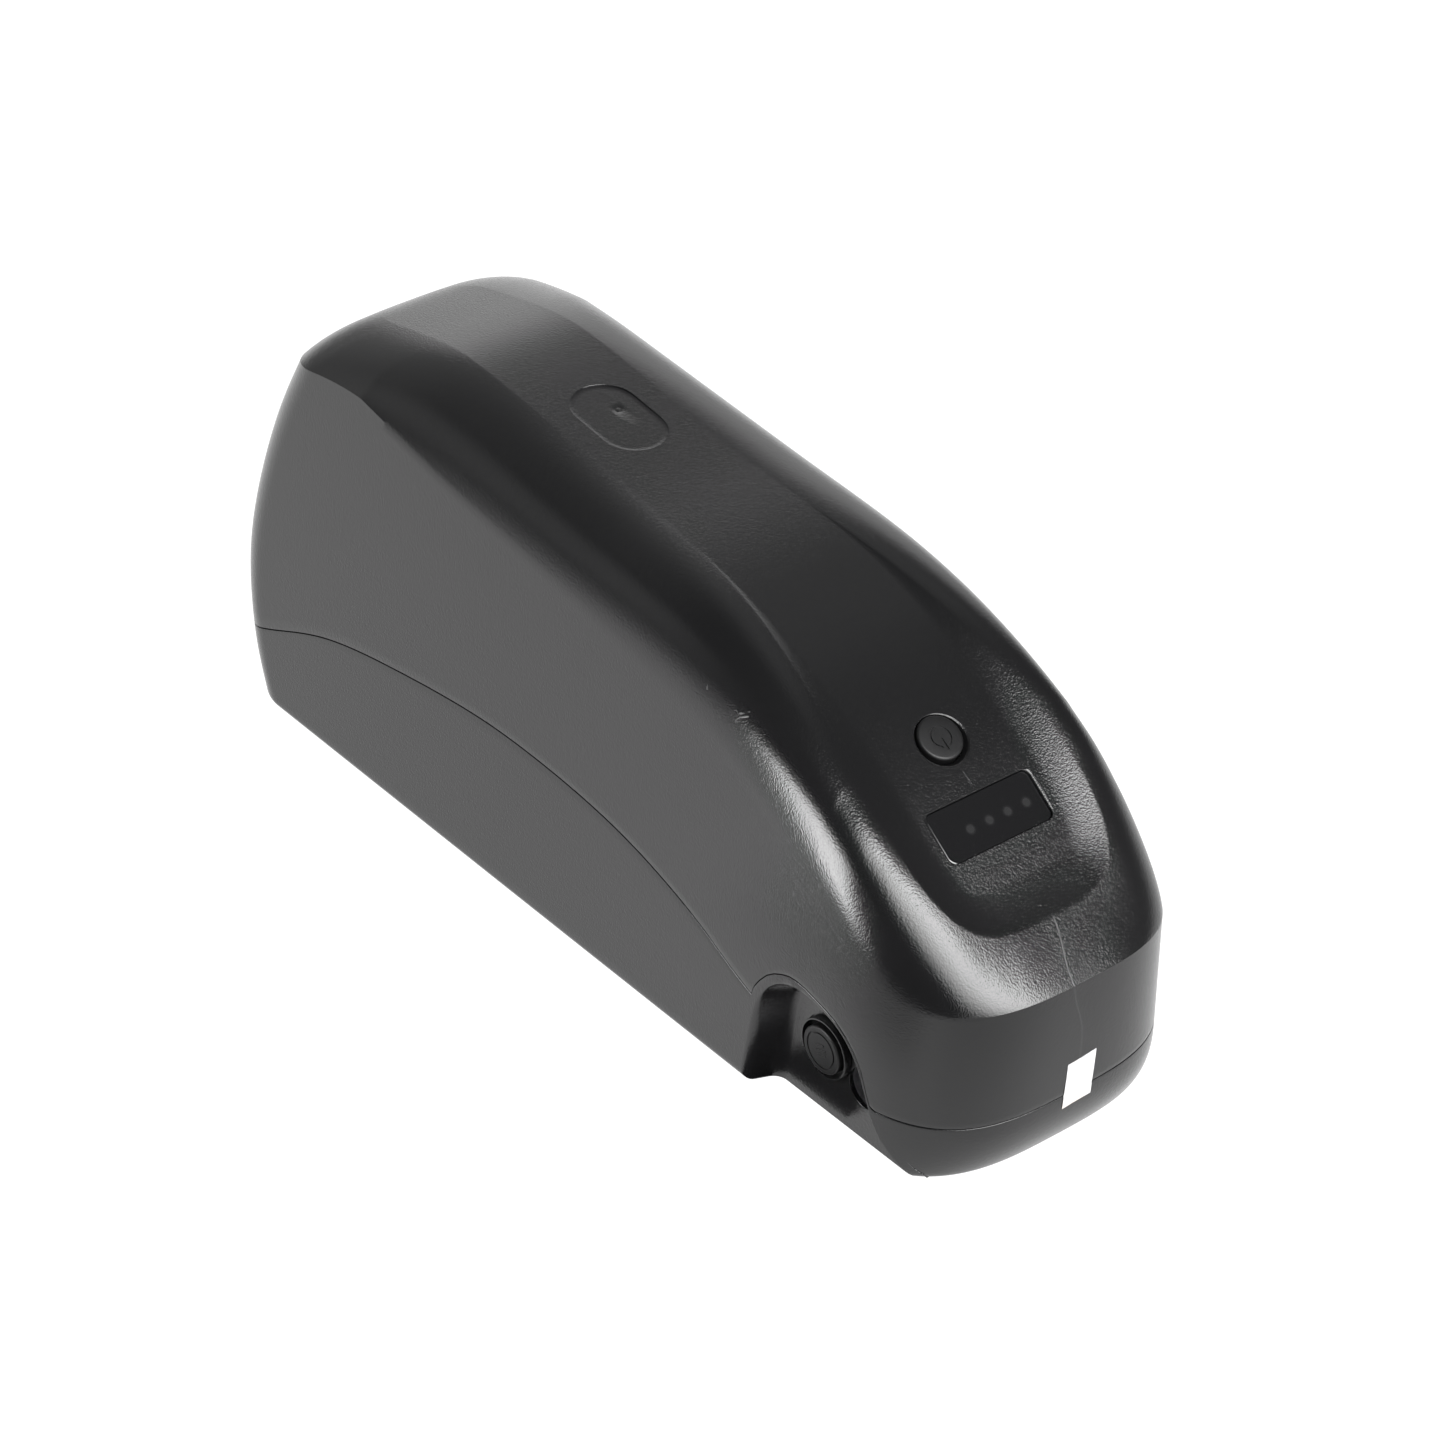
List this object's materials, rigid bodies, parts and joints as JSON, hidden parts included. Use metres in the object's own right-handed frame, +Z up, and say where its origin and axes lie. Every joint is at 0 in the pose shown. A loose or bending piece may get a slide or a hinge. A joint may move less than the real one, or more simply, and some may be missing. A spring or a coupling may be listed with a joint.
{
  "type": "e-bike battery",
  "caption": "Down-tube battery case with a humped, rounded shell, sunken tongue with power button and charge window, side notch with capped port and lock socket.",
  "frame": {"origin": "centre of the part on its flat base", "axes": "+X towards the rounded nose, +Z up from the base, the notch with the charging port on the -Y side"},
  "size_m": [0.296, 0.0897, 0.1256],
  "materials": {
    "case_plastic": "fine spark-eroded grain, satin black",
    "seal_rubber": "matte",
    "button_rubber": "satin",
    "inner_plastic": "matte",
    "steel_parts": "plain",
    "board": "solder mask",
    "smoked_lens": "smoked, glossy",
    "lamp": "clear resin",
    "cap_rubber": "matte",
    "brass_parts": "plated",
    "nut_metal": "nickel plated",
    "bushing_steel": "machined",
    "label_white": "brittle vinyl",
    "holder_plastic": "moulded",
    "cell_wrap": "shrink wrap",
    "nickel": "nickel strip",
    "sheet_paper": "fish paper",
    "chip": "moulded",
    "spreader": "extruded",
    "socket_plastic": "nylon",
    "fuse_body": "moulded",
    "bead": "epoxy",
    "foam": "closed-cell foam",
    "lead_red": "silicone",
    "lead_black": "silicone",
    "lead_grey": "silicone"
  },
  "bodies": {
    "case": {"upper_shell": "case_plastic", "lower_shell": "case_plastic", "shell_seal": "seal_rubber", "button_guide": "inner_plastic", "switch_body": "inner_plastic", "switch_board": "board", "indicator_lens": "smoked_lens", "lens_carrier": "inner_plastic", "led_board": "board", "indicator_leds": "lamp", "charge_socket": "inner_plastic", "socket_pin": "brass_parts", "socket_nut": "nut_metal", "lock_bushing": "bushing_steel", "discharge_connector": "inner_plastic", "discharge_contacts": "brass_parts", "case_screws": "steel_parts", "seal_label": "label_white", "cell_holder_left": "holder_plastic", "cell_holder_right": "holder_plastic", "cell_group_01": "cell_wrap", "cell_group_02": "cell_wrap", "cell_group_03": "cell_wrap", "cell_group_04": "cell_wrap", "cell_group_05": "cell_wrap", "cell_group_06": "cell_wrap", "cell_group_07": "cell_wrap", "cell_group_08": "cell_wrap", "cell_group_09": "cell_wrap", "cell_group_10": "cell_wrap", "busbars_left": "nickel", "busbars_right": "nickel", "insulation_left": "sheet_paper", "insulation_right": "sheet_paper", "bms_board": "board", "bms_transistors": "chip", "bms_heat_spreader": "spreader", "bms_chips": "chip", "bms_sockets": "socket_plastic", "main_fuse": "fuse_body", "bms_screws": "steel_parts", "thermistor": "bead", "back_foam": "foam", "positive_lead": "lead_red", "negative_lead": "lead_black", "charge_lead": "lead_red", "display_lead": "lead_grey", "balance_lead": "lead_grey"},
    "button": {"power_button": "button_rubber", "switch_plunger": "steel_parts"},
    "cap": {"charge_cap": "cap_rubber"}
  },
  "joints": [
    {"name": "button_press", "type": "slide", "parent": "case", "child": "button", "axis": [-0.5253, 0, -0.8509], "range_m": [0, 0.0007], "stiffness_N_per_m": 2500},
    {"name": "cap_hinge", "type": "hinge", "parent": "case", "child": "cap", "pos_m": [0.09499, -0.03745, 0.01402], "axis": [0.766, 0, -0.6428], "range_deg": [0, 110]}
  ]
}
